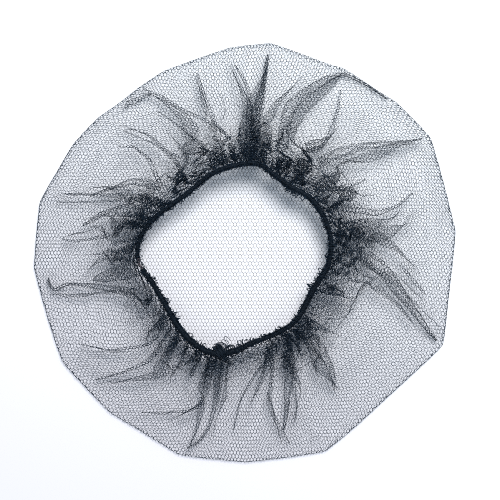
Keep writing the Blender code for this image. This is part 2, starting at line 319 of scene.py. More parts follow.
class Grid:
    """The net from its lower layer, round the rim and in to the hem, in rows that run round it."""

    def __init__(self):
        self.flat_direction = np.arange(COLUMNS) * 360.0 / COLUMNS
        self.start = rim_at(self.flat_direction) - ROLL_OUT
        self.sewn = gather_table()
        self.hem_direction = np.interp(self.flat_direction, three_turns(self.sewn), three_turns(STEPS))
        hem_radius, hem_height = hem_at(self.hem_direction)
        self.top = np.hypot(self.start - hem_radius - HEM_HALF, hem_height - 2 * ROLL) * SLACK
        self.rows = TOP_START + TOP_ROWS + 1
        self.flat_radius = self.row_radius()
        self.folds = np.concatenate([np.array(FOLDS, float), minor_folds(self.sewn)])
        self.share = np.clip((np.arange(self.rows) - TOP_START) / TOP_ROWS, 0, 1)
        # The least spacing round the net, as a share of the flat spacing.
        self.squeeze = np.interp(self.share, [0, 0.1, 0.4, 0.75, 1.0], [0.98, 0.96, 0.9, 0.76, 0.6])
        self.ceiling = np.full((self.rows, COLUMNS), 20.0 + HEADROOM)
        self.points = self.first_shape()

    def row_radius(self):
        """Distance of each grid point from the middle of the flat net."""
        rows = []
        for row in range(self.rows):
            if row < FLOOR_ROWS:
                rows.append(self.start - FLOOR_REACH * (1 - row / FLOOR_ROWS))
            elif row < TOP_START:
                rows.append(self.start + ROLL_RUN * (row - FLOOR_ROWS) / ROLL_ROWS)
            else:
                rows.append(self.start + ROLL_RUN + self.top * ((row - TOP_START) / TOP_ROWS))
        return np.array(rows)

    def row_of(self, flat_points):
        """The row, with its fraction, of points of the flat net."""
        direction, radius = turn_and_reach(flat_points)
        columns = np.append(self.flat_direction, 360.0)
        start, top = (np.interp(direction, columns, np.append(v, v[0])) for v in (self.start, self.top))
        out = radius - start
        rolled = out - ROLL_RUN
        on_floor = FLOOR_ROWS * (1 + out / FLOOR_REACH)
        on_roll = FLOOR_ROWS + out / ROLL_RUN * ROLL_ROWS
        on_top = TOP_START + rolled / top * TOP_ROWS
        past_seam = TOP_START + TOP_ROWS + (rolled - top) / FRILL * FRILL_ROWS
        return np.select([out < 0, rolled < 0, rolled < top], [on_floor, on_roll, on_top], past_seam)

    def flat_of_hem(self, direction):
        """Direction in the flat net that is sewn to a direction along the hem."""
        return np.interp(direction, three_turns(STEPS), three_turns(self.sewn))

    def base(self, row, direction):
        """Where a row would lie with no folds, at a direction: (radius, height)."""
        start = rim_at(direction) - ROLL_OUT
        if row < FLOOR_ROWS:
            return start - FLOOR_REACH * (1 - row / FLOOR_ROWS), 0 * direction + LAID
        if row < TOP_START:
            turn = math.pi * (row - FLOOR_ROWS) / ROLL_ROWS
            return start + ROLL_OUT * math.sin(turn), 0 * direction + LAID + ROLL * (1 - math.cos(turn))
        share = bunched((row - TOP_START) / TOP_ROWS)
        hem_radius, hem_height = hem_at(direction)
        radius = start + (hem_radius + HEM_HALF - start) * share
        height = 2 * ROLL + (hem_height - 2 * ROLL) * share**1.3 + PUFF * math.sin(math.pi * share)
        return radius, height

    def first_shape(self):
        """The folded net before it settles: flat panels with the spare net stood up along the fold lines."""
        flat, table = self.flat_direction, self.folds
        tip = table[:, AT_TIP]
        at_hem, halfway = (tip + apart(table[:, column], tip) for column in (AT_HEM, HALFWAY))
        sewn = tip + apart(self.flat_of_hem(table[:, AT_HEM]), tip)
        length = table[:, TIP_RADIUS] - hem_at(table[:, AT_HEM])[0]
        past_halfway = table[:, TIP_RADIUS] - HALFWAY_RADIUS
        bend = np.where(past_halfway > 3.0, past_halfway / length, 0.5)
        ripple = np.zeros(COLUMNS)
        for number, (phase, size) in enumerate(rng.normal(0, 1, (40, 5))[:GATHERS, :2]):
            waves = FEWEST_GATHERS + 9 * number
            ripple += np.sin(np.radians(flat) * waves + 6 * phase) * (0.6 + 0.3 * size)
        points = np.empty((self.rows, COLUMNS, 3))
        for row in range(self.rows):
            if row <= TOP_START:
                points[row] = polar(flat, *self.base(row, flat))
                continue
            along = np.clip((table[:, TIP_RADIUS] - self.base(row, table[:, HALFWAY])[0]) / length, 0, 1)
            place = np.array([
                np.interp(a, [0, b, 1], line) for a, b, line in zip(along, bend, zip(tip, halfway, at_hem))])
            unfolded, lift, lean, upright = self.fold_row(row, along, tip + (sewn - tip) * along, place)
            close = smooth_step((self.share[row] - 0.9) / 0.1)
            direction = unfolded + close * apart(self.hem_direction, unfolded)
            gathers = ripple * (0.4 * smooth_step((self.share[row] - 0.7) / 0.3))
            radius, height = self.base(row, direction)
            lift = lift * (1 - 0.75 * close)
            flopped, standing = 1.2 + 0.36 * np.abs(lean), 0.1 + 0.3 * np.abs(lean)
            angle = np.sign(lean) * (flopped * (1 - upright) + standing * upright)
            self.ceiling[row] = height + UPRIGHT_ROOM * upright + HEADROOM
            height = height + lift * np.cos(angle) + np.abs(gathers) * 0.4
            radius = radius + gathers * 0.7
            points[row] = polar(direction + np.degrees(lift * np.sin(angle) / radius), radius, height)
        return points

    def fold_row(self, row, along, fabric, place):
        """For one row: the direction that each column goes to, how far it stands out of the net, which way it
        leans, and how upright it stands.

        along is how far down each fold the row is, from 0 at its tip. fabric is the fold's direction in the
        flat net, and place its direction as it lies.
        """
        lift, lean, upright = np.zeros(COLUMNS), np.zeros(COLUMNS), np.ones(COLUMNS)
        order = np.flatnonzero(along > 0)
        if len(order) == 0:
            return self.flat_direction.copy(), lift, lean, upright
        order = order[np.argsort(fabric[order] % 360.0)]
        table, along, fabric = self.folds[order], along[order], fabric[order] % 360.0
        place = fabric + apart(place[order], fabric)
        place = np.maximum.accumulate(place + 0.02 * np.arange(len(place)))
        nearest = np.clip(np.round(fabric / 360.0 * COLUMNS).astype(int), 0, COLUMNS - 1)
        spread = self.flat_radius[row][nearest]
        base_radius = self.base(row, place)[0]

        # The net to spare between two folds goes up into them, by size, up to what each can take.
        after = np.roll(np.arange(len(order)), -1)
        fabric_gap, place_gap = ((v[after] - v) % 360.0 for v in (fabric, place))
        if len(order) == 1:
            fabric_gap = place_gap = np.array([360.0])
        spare = np.radians(fabric_gap) * (spread + spread[after]) / 2
        spare -= np.radians(place_gap) * (base_radius + base_radius[after]) / 2 / self.squeeze[row]
        spare = np.maximum(spare, 0.0)
        size = table[:, TAKES_UP] * np.minimum(1.0, (along + 0.3 * table[:, BLUNT]) / 0.55)
        share = size / (size + size[after])
        depth = np.maximum(table[:, TIP_RADIUS] - base_radius, 0.0)
        most = np.where(order < len(FOLDS), 0.45 * depth + 0.012 * depth**2, 1.3 * depth)
        most = most * np.minimum(table[:, TAKES_UP], 1.6) + 0.1 + table[:, BLUNT]
        least = 0.9 * table[:, BLUNT]
        right = np.maximum(np.minimum(spare * share, most), least)
        left = np.maximum(np.minimum(np.roll(spare * (1 - share), 1), most), least)

        begin = fabric - np.degrees(left / spread)
        end = fabric + np.degrees(right / spread)
        foot = np.degrees(FOOT / base_radius)
        knots = np.stack([begin, end], axis=1).ravel()
        knots = np.maximum.accumulate(knots + 1e-4 * np.arange(len(knots)))
        goes = np.stack([place - foot, place + foot], axis=1).ravel()
        direction = np.interp(self.flat_direction, three_turns(knots), three_turns(goes))

        stands = (1 - smooth_step((along - 0.12) / 0.4)) * (table[:, BLUNT] < FLAT_TIP)
        for k in range(len(order)):
            off = np.radians(np.abs(apart(self.flat_direction, (begin[k] + end[k]) / 2))) * spread[k]
            rise = np.clip((left[k] + right[k]) / 2 - np.sqrt(off**2 + CREST), 0, None)
            lift = np.maximum(lift, rise)
            lean = np.where(rise > 0, table[k, LEANS], lean)
            upright = np.where(rise > 0, stands[k], upright)
        return direction, lift, lean, upright

    def settle(self, passes):
        """Lets the net pull its knots back to their true spacing, with the folds free to move."""
        x, aim = self.points.copy(), self.points
        flat = polar(self.flat_direction[None, :], self.flat_radius, 0.0)
        squeeze = 0.97 * self.squeeze[:, None]
        least_along = np.interp(self.share, [0, 0.4, 0.5, 0.7, 1.0], [0.95, 0.9, 0.8, 0.5, 0.4])[:, None]
        hold = np.interp(self.share, [0, 0.001, 0.4, 0.8, 1.0], [0.12, 0.01, 0.015, 0.06, 0.1])[:, None, None]
        floor = np.where(np.arange(self.rows) < FLOOR_ROWS, LAID, 0.5)[:, None]
        rest_round = np.linalg.norm(np.roll(flat, -1, axis=1) - flat, axis=-1)
        rest_along = np.linalg.norm(flat[1:] - flat[:-1], axis=-1)
        slants = []
        for near, far in ((0, 1), (1, 0)):
            gap = np.roll(flat, -far, axis=1)[1:] - np.roll(flat, -near, axis=1)[:-1]
            slants.append((near, far, np.linalg.norm(gap, axis=-1)))
        for _ in range(passes):
            for odd in (0, 1):
                first = np.arange(odd, COLUMNS, 2)
                second = (first + 1) % COLUMNS
                move = pull(x[:, first], x[:, second], rest_round[:, first], squeeze, STRETCH, FIRMNESS)
                x[:, first] += move
                x[:, second] -= move
            for odd in (0, 1):
                lower = x[odd + 1 :: 2]
                upper = x[odd:-1:2][: len(lower)]
                rest, least = (v[odd::2][: len(lower)] for v in (rest_along, least_along))
                move = pull(upper, lower, rest, least, STRETCH, FIRMNESS)
                upper += move
                lower -= move
            for near, far, rest in slants:
                above, below = np.roll(x, -near, axis=1)[:-1], np.roll(x, -far, axis=1)[1:]
                move = pull(above, below, rest, 0.8, SHEAR, 0.3)
                x[:-1] += np.roll(move, near, axis=1)
                x[1:] -= np.roll(move, far, axis=1)
            x += STIFFNESS * ((np.roll(x, 1, axis=1) + np.roll(x, -1, axis=1)) / 2 - x)
            x[1:-1] += STIFFNESS * ((x[2:] + x[:-2]) / 2 - x[1:-1])
            x[..., 2] -= SINK
            x += hold * (aim - x)
            x[..., 2] = np.clip(x[..., 2], floor, self.ceiling)
            x[:3] = aim[:3]
            x[-1] = aim[-1]
        self.points = x

    def add_frill(self):
        """The cut edge beyond the seam: it stands over the hem and frays into the opening."""
        radius, height = hem_at(self.hem_direction)
        loose = np.zeros(COLUMNS)
        for number in range(14):
            waves = 70 + 17 * number
            loose += np.sin(np.radians(self.flat_direction) * waves + 6.3 * rng.random()) * 0.35
        rows = []
        for row in range(1, FRILL_ROWS + 1):
            out = row / FRILL_ROWS
            inwards = HEM_HALF - out * (2 * HEM_HALF + 0.9 + 0.9 * loose)
            over = 1.9 * math.sin(math.pi * 0.75 * out) + 0.5 * loose * out
            rows.append(polar(self.hem_direction, radius + inwards, height + over))
        self.points = np.concatenate([self.points, np.array(rows)])
        self.rows += FRILL_ROWS

    def place(self, flat_points):
        """Where points of the flat net end up."""
        row = self.row_of(flat_points)
        lying = row < 0.5
        row = np.clip(row, 0, self.rows - 1.001)
        column = turn_and_reach(flat_points)[0] / 360.0 * COLUMNS
        r0, c0 = np.floor(row).astype(int), np.floor(column).astype(int)
        fr, fc = (row - r0)[:, None], (column - c0)[:, None]
        c1, c0 = (c0 + 1) % COLUMNS, c0 % COLUMNS
        p = self.points
        before = p[r0, c0] * (1 - fc) + p[r0, c1] * fc
        after = p[r0 + 1, c0] * (1 - fc) + p[r0 + 1, c1] * fc
        placed = before * (1 - fr) + after * fr
        placed[lying, :2] = flat_points[lying]
        placed[lying, 2] = LAID
        return placed

    def reaches(self, flat_points):
        """Whether points of the flat net lie within its cut edge."""
        return self.row_of(flat_points) < TOP_START + TOP_ROWS + FRILL_ROWS - 0.01


# ---------------------------------------------------------------- threads of the net
class Honeycomb:
    """Knots and strands of the flat net. Each cell has a knot at its upper point and one at its lower."""

    def __init__(self, grid):
        columns = int(2 * NET_REACH / (CELL_ACROSS / 2))
        rows = int(2 * NET_REACH / ROW_STEP)
        m, n = np.meshgrid(np.arange(columns), np.arange(rows), indexing="ij")
        cell = (m + n) % 2 == 0
        x = (m - columns // 2) * CELL_ACROSS / 2
        y = (n - rows // 2) * ROW_STEP
        rise = ROW_STEP - PILLAR / 2
        up_points, low_points = np.stack([x, y + rise], axis=-1), np.stack([x, y - rise], axis=-1)
        up_ok, low_ok = (
            cell & grid.reaches(points.reshape(-1, 2)).reshape(m.shape) for points in (up_points, low_points))
        upper, lower = np.full(m.shape, -1), np.full(m.shape, -1)
        upper[up_ok] = np.arange(up_ok.sum())
        lower[low_ok] = up_ok.sum() + np.arange(low_ok.sum())
        self.flat = np.concatenate([up_points[up_ok], low_points[low_ok]])
        # An upper knot joins one lower knot above it by a pillar, and two beside it by slanted legs.
        strands = []
        for slot, (aside, above) in enumerate(((0, 2), (-1, 1), (1, 1))):
            mm, nn = m[up_ok] + aside, n[up_ok] + above
            inside = (mm >= 0) & (mm < columns) & (nn >= 0) & (nn < rows)
            other = np.full(len(mm), -1)
            other[inside] = lower[mm[inside], nn[inside]]
            keep = other >= 0
            strands.append(np.stack([upper[up_ok][keep], other[keep], np.full(keep.sum(), slot)], axis=1))
        self.strands = np.concatenate(strands)


def crumple(flat, placed):
    """Small unevenness of the slack net near the hem, where no two cells lie alike."""
    slack = smooth_step((np.hypot(flat[:, 0], flat[:, 1]) - 175.0) / 35.0)[:, None]
    shift = rng.normal(0, 0.10, placed.shape)
    for _ in range(7):
        way = rng.normal(0, 1, 2)
        way /= np.hypot(*way)
        phase = flat @ way * rng.uniform(0.7, 1.9) + rng.uniform(0, 6.28)
        shift += 0.16 * np.sin(phase)[:, None] * rng.normal(0, 1, 3)
    shift[:, 2] *= 0.6
    return shift * slack


def smoothed(values, span):
    """A running average over span values, with the ends repeated."""
    return np.convolve(np.pad(values, span // 2, mode="edge"), np.ones(span) / span, mode="valid")


def rolled_over(comb, grid, stops):
    """Knots and strands of a strip of net that lies flattened in a roll on top of the net, along stops."""
    stops = np.array(stops, float)
    x, y, _ = polar(stops[:, 0], stops[:, 1], 0.0).T
    gone = np.concatenate([[0.0], np.cumsum(np.hypot(np.diff(x), np.diff(y)))])
    along = np.linspace(0, gone[-1], ROLLED_POINTS)
    path = np.stack([smoothed(np.interp(along, gone, v), 9) for v in (x, y)], axis=1)
    surface = grid.points[TOP_START:].reshape(-1, 3)
    height = np.full(len(path), 2.5)
    for k, spot in enumerate(path):
        near = surface[np.hypot(*(surface[:, :2] - spot).T) < 2.0]
        if len(near):
            height[k] = np.percentile(near[:, 2], 75)
    direction, reach = turn_and_reach(path)
    inside_rim = np.maximum(rim_at(direction) - reach, 0.0)
    height = np.minimum(smoothed(height, 7), 2 * ROLL + 0.3 + 0.3 * inside_rim)
    forwards = unit(np.gradient(path, axis=0))

    # The strip is cut from the middle of the flat net, u along it and v round its roll.
    around = ROLLED_TURNS * stops[:, 2].max() + 2.2
    here = comb.flat - np.array([-gone[-1] / 2, -around / 2])
    inside = (here[:, 0] > 0) & (here[:, 0] < gone[-1]) & (here[:, 1] > 0) & (here[:, 1] < around)
    u, v = here[:, 0], here[:, 1] / around * TURN
    v = v + 0.35 * np.sin(0.23 * u + 1.7 * v) + 0.25 * np.sin(0.61 * u + v)
    half = np.interp(u, along, np.interp(along, gone, stops[:, 2])) / 2
    across = half * np.sin(v)
    spot = np.stack([np.interp(u, along, path[:, k]) for k in (0, 1)], axis=1)
    way = unit(np.stack([np.interp(u, along, forwards[:, k]) for k in (0, 1)], axis=1))
    placed = np.empty((len(u), 3))
    placed[:, 0] = spot[:, 0] - way[:, 1] * across
    placed[:, 1] = spot[:, 1] + way[:, 0] * across
    placed[:, 2] = np.interp(u, along, height) + LAID + (0.25 + 0.22 * half) * (1 + np.cos(v)) / 2
    placed += rng.normal(0, 0.08, placed.shape)
    keep = inside[comb.strands[:, 0]] & inside[comb.strands[:, 1]]
    return placed, comb.strands[keep]


def thread_mesh(name, points, flat, strands, wide):
    """Closed ridged threads between knots. A knot has three corners below and one point above."""
    used = np.unique(strands[:, :2])
    count = len(used)
    number = np.full(len(points), -1)
    number[used] = np.arange(count)
    a, b, slot = number[strands[:, 0]], number[strands[:, 1]], strands[:, 2]
    p = points[used]
    arms = np.zeros((count, 3, 3))
    has = np.zeros((count, 3), bool)
    arms[a, slot] = p[b] - p[a]
    arms[b, slot] = p[a] - p[b]
    has[a, slot] = True
    has[b, slot] = True
    arms = unit(arms)
    # A missing arm points away from the two others.
    for k in range(3):
        gone = ~has[:, k]
        rest = -(arms[:, (k + 1) % 3] + arms[:, (k + 2) % 3])
        lone = gone & (np.linalg.norm(rest, axis=1) < 0.2)
        rest[lone] = np.cross(arms[lone][:, (k + 1) % 3], [0.0, 0.0, 1.0])
        arms[gone, k] = unit(rest)[gone]
    normal = unit(sum(np.cross(arms[:, k], arms[:, (k + 1) % 3]) for k in range(3)))
    corners = np.empty((count, 3, 3))
    for k in range(3):
        between = arms[:, k] + arms[:, (k + 1) % 3]
        size = np.linalg.norm(between, axis=1, keepdims=True) / 2
        outward = np.cross(normal, arms[:, k] - arms[:, (k + 1) % 3])
        direction = np.where(size > 0.15, between / np.maximum(2 * size, 1e-6), unit(-outward))
        sine = np.sqrt(np.clip(1 - size**2, 0.2, 1.0))
        corners[:, k] = p + direction * (wide[used][:, None] / 2) / sine - normal * THREAD_HIGH / 3
    ridge = p + normal * (2 * THREAD_HIGH / 3)
    verts = np.concatenate([corners.reshape(-1, 3), ridge]) * MM

    def corner(j, k):
        return j * 3 + k % 3

    def top(j):
        return 3 * count + j

    left_a, right_a = corner(a, slot), corner(a, slot + 2)
    left_b, right_b = corner(b, slot), corner(b, slot + 2)
    quads = np.concatenate([
        np.stack([left_a, right_b, left_b, right_a], axis=1),
        np.stack([right_a, left_b, top(b), top(a)], axis=1),
        np.stack([top(a), top(b), right_b, left_a], axis=1),
    ])
    every = np.arange(count)
    triangles = [np.stack([corner(every, 2), corner(every, 1), corner(every, 0)], axis=1)]
    for k in range(3):
        bare = np.flatnonzero(~has[:, k])
        triangles.append(np.stack([corner(bare, k + 2), corner(bare, k), top(bare)], axis=1))
    places = np.concatenate([np.repeat(flat[used], 3, axis=0), flat[used]])
    return mesh_object(name, verts, quads, np.concatenate(triangles), places)


def mesh_object(name, verts, quads, triangles, flat=None):
    """A smooth-shaded mesh object from arrays. flat gives each corner its place in the flat net as its UV."""
    mesh = bpy.data.meshes.new(name)
    mesh.vertices.add(len(verts))
    mesh.vertices.foreach_set("co", np.asarray(verts, np.float32).ravel())
    loops = np.concatenate([quads.ravel(), triangles.ravel()]).astype(np.int32)
    mesh.loops.add(len(loops))
    mesh.loops.foreach_set("vertex_index", loops)
    starts = np.concatenate([np.arange(len(quads)) * 4, len(quads) * 4 + np.arange(len(triangles)) * 3])
    mesh.polygons.add(len(starts))
    mesh.polygons.foreach_set("loop_start", starts.astype(np.int32))
    mesh.update(calc_edges=True)
    mesh.polygons.foreach_set("use_smooth", np.ones(len(starts), bool))
    if flat is not None:
        uv = mesh.uv_layers.new(name="OFBake")
        uv.data.foreach_set("uv", (flat[loops] / UV_SPAN + 0.5).astype(np.float32).ravel())
    mesh.validate()
    return placed_in_scene(name, mesh)


def placed_in_scene(name, data):
    made = bpy.data.objects.new(name, data)
    bpy.context.scene.collection.objects.link(made)
    return made


def finished(piece, finish):
    """Gives a piece its material and says what it belongs to."""
    piece.data.materials.append(finish)
    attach(piece, "root")
    return piece


class Yarns:
    """Round yarns, in mm, gathered into one mesh."""

    def __init__(self, sides):
        self.sides = sides
        self.verts, self.quads, self.triangles = [], [], []
        self.count = 0

    def add(self, path, radius):
        """An open yarn along path, with rounded-off ends."""
        path = np.asarray(path, float)
        radius = np.broadcast_to(np.asarray(radius, float), (len(path),)).copy()
        radius[[0, -1]] *= 0.6
        along = unit(np.gradient(path, axis=0))
        side = np.empty_like(path)
        first = np.cross(along[0], [0.0, 0.0, 1.0])
        side[0] = first if np.linalg.norm(first) > 0.1 else np.cross(along[0], [1.0, 0.0, 0.0])
        side[0] /= np.linalg.norm(side[0])
        for k in range(1, len(path)):
            turned = side[k - 1] - along[k] * (side[k - 1] @ along[k])
            side[k] = turned / np.linalg.norm(turned)
        self.rings(path, radius[:, None], side, np.cross(along, side), closed=False)

    def rings(self, path, radius, side, up, closed):
        """A tube with the given frames. A closed one joins its end to its start."""
        angle = (np.arange(self.sides) * TURN / self.sides)[None, :, None]
        around = np.cos(angle) * side[:, None] + np.sin(angle) * up[:, None]
        self.verts.append((path[:, None] + radius[:, :, None] * around).reshape(-1, 3))
        ring = np.arange(len(path) if closed else len(path) - 1)
        next_ring = (ring + 1) % len(path)
        k = np.arange(self.sides)
        after = (k + 1) % self.sides
        here = self.count + ring[:, None] * self.sides
        there = self.count + next_ring[:, None] * self.sides
        sides = np.stack([here + k, here + after, there + after, there + k], axis=-1)
        self.quads.append(sides.reshape(-1, 4))
        if not closed:
            last = self.count + (len(path) - 1) * self.sides
            for j in range(1, self.sides - 1):
                self.triangles.append([self.count, self.count + j + 1, self.count + j])
                self.triangles.append([last, last + j, last + j + 1])
        self.count += len(path) * self.sides

    def made(self, name, finish, node_slot):
        triangles = np.array(self.triangles, int).reshape(-1, 3)
        piece = mesh_object(name, np.concatenate(self.verts) * MM, np.concatenate(self.quads), triangles)
        return finished(piece, finish)


# ---------------------------------------------------------------- hem, elastic and join
# How far the loops of the cut edge stand into the opening, in mm, as (direction, reach).
LOOSE_EDGE = [
    (0, 1.5), (20, 1.1), (34, 2.0), (44, 3.0), (56, 2.6), (66, 1.2), (90, 0.7), (110, 0.8), (130, 1.3),
    (150, 1.3), (165, 1.5), (180, 1.0), (190, 1.2), (204, 1.8), (220, 2.4), (236, 1.9), (246, 2.4),
    (254, 2.6), (262, 3.2), (272, 2.6), (284, 1.4), (300, 1.3), (318, 1.6), (330, 2.2), (346, 2.1),
]

# How thick the hem is, as (direction, share of its usual thickness).
HEM_SWELL = [
    (0, 1.0), (40, 1.15), (60, 1.1), (90, 0.95), (140, 0.95), (180, 0.9), (205, 1.15), (225, 1.3),
    (245, 1.35), (262, 1.25), (285, 1.0), (315, 1.1), (335, 1.2), (350, 1.1),
]

CORE = 1.32  # radius of the elastic with the rolled net round it
# The overlock's yarns: turns round the hem, distance from its middle, radius, and which way they wind.
OVERLOCK = [(330, 1.62, 0.27, 1), (208, 1.72, 0.22, -1), (150, 1.66, 0.20, 1)]
BARE_FROM, BARE_TO = 183.0, 188.5  # where the elastic shows through the stitching
BARE_SHRINK = 0.42  # how much thinner the hem is there, as a share
HEM_REACH = 66.0  # usual radius of the hem, for turning a length along it into degrees
JOIN = 256.0  # where the two ends of the elastic meet
SPARE_LOOPS = (-9.2, -63.4)  # middle of the loose loops of yarn beside the join, in mm


def hem_frame(direction):
    """Middle of the hem, the way outwards across it, and the way up, at directions in degrees."""
    step = 0.6
    before, middle, after = (polar(d, *hem_at(d)) for d in (direction - step, direction, direction + step))
    along = unit(after - before)
    up = np.zeros_like(along)
    up[..., 2] = 1.0
    outward = unit(np.cross(along, up))
    return middle, outward, unit(np.cross(outward, along))


def hem_core(finish):
    """The elastic cord with the rolled net packed round it: a lumpy closed tube."""
    yarns = Yarns(sides=10)
    turns = np.arange(0, 360, 0.4)
    middle, outward, up = hem_frame(turns)
    angle = np.arange(yarns.sides) * TURN / yarns.sides
    lumps = np.zeros((len(turns), yarns.sides))
    for _ in range(26):
        waves, tilt, phase = rng.integers(20, 230), rng.integers(-2, 3), rng.uniform(0, TURN)
        lump = np.sin(np.radians(turns)[:, None] * waves + tilt * angle[None, :] + phase)
        lumps += lump * rng.uniform(0.02, 0.055)
    past_start, before_end = apart(turns, BARE_FROM), apart(BARE_TO, turns)
    bare = smooth_step((past_start + 0.6) / 1.2) * smooth_step((before_end + 0.6) / 1.2)
    radius = (CORE + lumps) * (from_table(turns, HEM_SWELL) * (1 - BARE_SHRINK * bare))[:, None]
    yarns.rings(middle, radius, outward, up, closed=True)
    return yarns.made("hem_elastic", finish, "elastic")


def hem_wraps(finish):
    """Overlock stitching: yarns wound round the hem, uneven as a fast machine leaves them."""
    yarns = Yarns(sides=4)
    for count, size, thick, hand in OVERLOCK:
        steps = count * 7
        turns = np.linspace(BARE_TO + 0.3, BARE_FROM + 359.7, steps)
        wobble = np.zeros(steps)
        for _ in range(8):
            wobble += np.sin(np.arange(steps) * rng.uniform(0.01, 0.6) + rng.uniform(0, TURN)) * 0.3
        angle = hand * (np.linspace(0, count * TURN, steps) + wobble)
        middle, outward, up = hem_frame(turns + 0.25 * wobble)
        out = (size * from_table(turns, HEM_SWELL) + 0.16 * wobble)[:, None]
        path = middle + out * (np.cos(angle)[:, None] * outward + np.sin(angle)[:, None] * up)
        yarns.add(path, thick)
    return yarns.made("overlock_yarns", finish, "elastic")


def edge_loops(finish):
    """Loops and cut ends of net that stick out of the stitching, mostly into the opening, in clumps."""
    yarns = Yarns(sides=3)
    share = np.linspace(0, 1, 7)
    swell = np.sin(math.pi * share) ** 0.7
    waves = [np.sin(np.radians(STEPS) * rng.integers(14, 60) + rng.uniform(0, TURN)) for _ in range(6)]
    clumps = sum(waves) / 2.4
    turn = 0.0
    while turn < 360.0:
        reach = from_table(turn, LOOSE_EDGE) * rng.uniform(0.35, 1.1)
        reach *= 1.15 + 0.75 * float(round_interp(turn, STEPS, clumps))
        side = -0.8 if rng.random() < 0.3 else 1.0
        span = np.degrees(rng.uniform(0.8, 2.6) / HEM_REACH)
        middle, outward, up = hem_frame(turn + (share - 0.5) * span + rng.normal(0, 0.35) * swell)
        inwards = (1.0 + max(reach, 0.3) * swell) * side
        lift = rng.uniform(0.2, 1.5) + rng.uniform(-0.9, 1.3) * swell
        path = middle - inwards[:, None] * outward + lift[:, None] * up
        path += rng.normal(0, 0.10, path.shape)
        if rng.random() < 0.3:
            path = path[: rng.integers(4, 6)]
        yarns.add(path, rng.uniform(0.17, 0.30))
        turn += rng.uniform(0.18, 0.6)
    return yarns.made("net_edge_loops", finish, "net")


def join_knot(finish):
    """The elastic's ends, overlapped, whipped round with yarn and cut off short."""
    yarns = Yarns(sides=6)
    middle, outward, up = (v[0] for v in hem_frame(np.array([JOIN])))
    along = np.cross(up, outward)

    def at(aside, out, above):
        """Points at these distances from the join: along the hem, out across it, and up."""
        return middle + np.outer(aside, along) + np.outer(out, outward) + np.outer(above, up)

    # Whipping wound round the hem itself.
    share = np.linspace(0, 1, 9 * 12)
    angle = share * 9 * TURN
    swell = 2.5 + 0.8 * np.sin(math.pi * share) + 0.15 * np.sin(5.3 * angle)
    coil = at((share - 0.5) * 6.2 + 0.3 * np.sin(1.7 * angle), swell * np.cos(angle), swell * np.sin(angle))
    coil[:, 2] = np.minimum(coil[:, 2], middle[2] + 2.6)
    yarns.add(coil, 0.48)

    # The two cut ends of the elastic, then the ends of yarn round them.
    share = np.linspace(0, 1, 9)
    for side in (-1.0, 1.0):
        end = at(side * (0.7 + share), -1.4 - 5.0 * share, 0.6 + 1.5 * np.sin(2.2 * share))
        yarns.add(end, 0.85 - 0.2 * share)
    share = np.linspace(0, 1, 8)
    for _ in range(26):
        spread, reach, curl = rng.normal(0, 1.1), rng.uniform(2.5, 6.2), rng.normal(0, 1.6)
        above = rng.uniform(-0.4, 1.2) + rng.uniform(0.2, 1.8) * np.sin(2.6 * share)
        tail = at(0.7 * spread + spread * share + curl * share**2, -0.8 - reach * share, above)
        yarns.add(tail, rng.uniform(0.13, 0.22))
    share = np.linspace(0, 1, 14)
    swell = np.sin(math.pi * share)
    for _ in range(16):
        offset, reach = rng.normal(2.0, 3.4), rng.uniform(1.8, 5.2)
        aside = offset + 1.6 * np.cos(math.pi * share) + rng.normal(0, 0.8) * swell
        loop = at(aside, -1.0 - reach * swell, 0.4 + rng.uniform(0.0, 1.8) * swell)
        yarns.add(loop, rng.uniform(0.14, 0.2))

    # The knot that reaches out over the gathers, wound round the net that it ties in.
    share = np.linspace(0, 1, 7 * 12)
    angle = share * 7 * TURN
    swell = 2.5 - 0.8 * share + 0.12 * np.sin(4.7 * angle)
    reach = -1.6 + 8.8 * share
    drop = 0.5 - 0.22 * np.maximum(reach, 0.0)
    yarns.add(at(swell * np.cos(angle), reach, drop + 0.55 * swell * np.sin(angle)), 0.42)
    share = np.linspace(0, 1, 7)
    yarns.add(at(0 * share, -1.6 + 8.6 * share, 0.3 - 1.6 * share), 1.5 - 0.4 * share)

    # Loose loops of yarn beside it.
    for _ in range(4):
        angle = np.linspace(0.15 * TURN, 1.12 * TURN, 18) + rng.uniform(-0.4, 0.4)
        wide, deep = rng.uniform(2.2, 3.0), rng.uniform(1.5, 2.1)
        spot = np.array([*SPARE_LOOPS, middle[2] + 0.8]) + rng.normal(0, 0.4, 3) * (1, 1, 0)
        loop = spot + np.column_stack([wide * np.cos(angle), deep * np.sin(angle), 0.5 * np.sin(angle)])
        yarns.add(loop, rng.uniform(0.2, 0.28))
    return yarns.made("elastic_join", finish, "elastic")


def bare_elastic(finish):
    """A few ridged strands of the elastic where the stitching has slipped off it."""
    yarns = Yarns(sides=6)
    share = np.linspace(0, 1, 24)
    middle, outward, up = hem_frame(BARE_FROM - 1.2 + share * (BARE_TO - BARE_FROM + 2.2))
    for offset, lift in ((-0.35, 0.7), (0.05, 0.85), (0.45, 0.72)):
        aside = offset + 0.25 * np.sin(math.pi * share)
        yarns.add(middle + aside[:, None] * outward + lift * up, 0.27)
    return yarns.made("bare_elastic", finish, "elastic")


# ---------------------------------------------------------------- finishes
class Value:
    """A socket in a material. Arithmetic on it adds the Math nodes that work it out."""

    def __init__(self, finish, socket):
        self.finish, self.socket = finish, socket

    def _math(self, operation, first, second):
        return self.finish.node("ShaderNodeMath", {"operation": operation}, {0: first, 1: second})

    def __add__(self, other):
        return self._math("ADD", self, other)

    def __radd__(self, other):
        return self._math("ADD", other, self)

    def __sub__(self, other):
        return self._math("SUBTRACT", self, other)

    def __rsub__(self, other):
        return self._math("SUBTRACT", other, self)

    def __mul__(self, other):
        return self._math("MULTIPLY", self, other)

    def __rmul__(self, other):
        return self._math("MULTIPLY", other, self)


